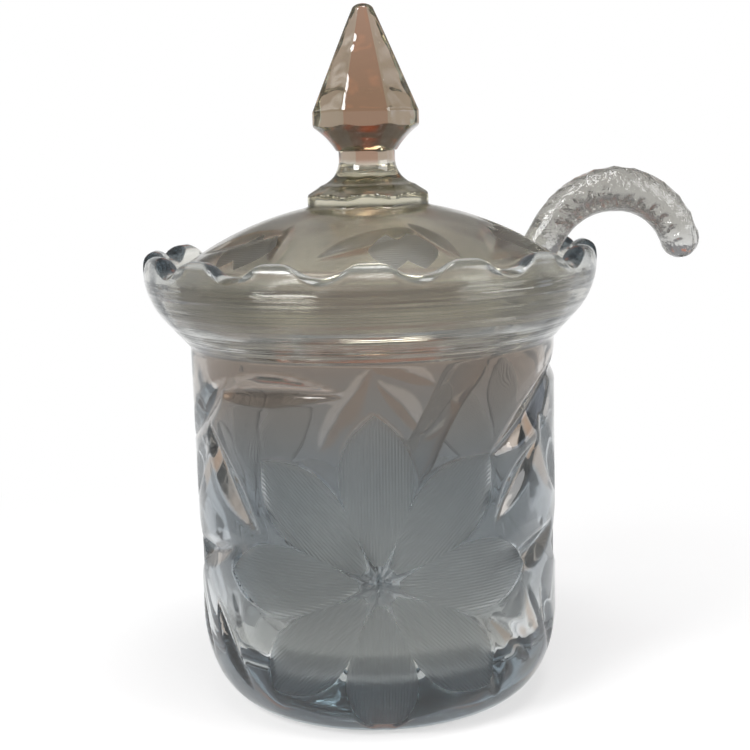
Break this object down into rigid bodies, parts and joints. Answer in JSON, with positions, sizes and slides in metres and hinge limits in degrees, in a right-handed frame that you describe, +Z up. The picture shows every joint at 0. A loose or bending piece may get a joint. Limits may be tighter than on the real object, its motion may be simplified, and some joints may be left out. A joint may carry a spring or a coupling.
{
  "type": "marmalade jar",
  "caption": "Cut-glass preserve jar with a scalloped flared collar, a notched domed lid with a faceted spire finial, and a hooked glass ladle standing in it.",
  "frame": {"origin": "centre of the flat foot of the jar, on the surface that it stands on", "axes": "+Z up along the jar's axis, -Y towards the viewer, and the ladle's hook leans out towards +X, turned 11.25 degrees towards +Y"},
  "size_m": [0.1245, 0.098, 0.1496],
  "materials": {
    "jar_glass": "polished crystal that looks smoke grey in its thickness, with frosted cut flowers",
    "lid_glass": "polished crystal that looks warm grey in its thickness, with polished cuts",
    "ladle_glass": "polished clear glass, beaded on the handle"
  },
  "bodies": {
    "jar": {"jar": "jar_glass"},
    "lid": {"lid": "lid_glass"},
    "ladle": {"ladle": "ladle_glass"}
  },
  "joints": [
    {"name": "lid_lift", "type": "slide", "parent": "jar", "child": "lid", "axis": [0, 0, 1], "range_m": [0, 0.09]},
    {"name": "ladle_draw", "type": "slide", "parent": "jar", "child": "ladle", "axis": [0.5197, 0.1034, 0.848], "range_m": [0, 0.07]}
  ]
}
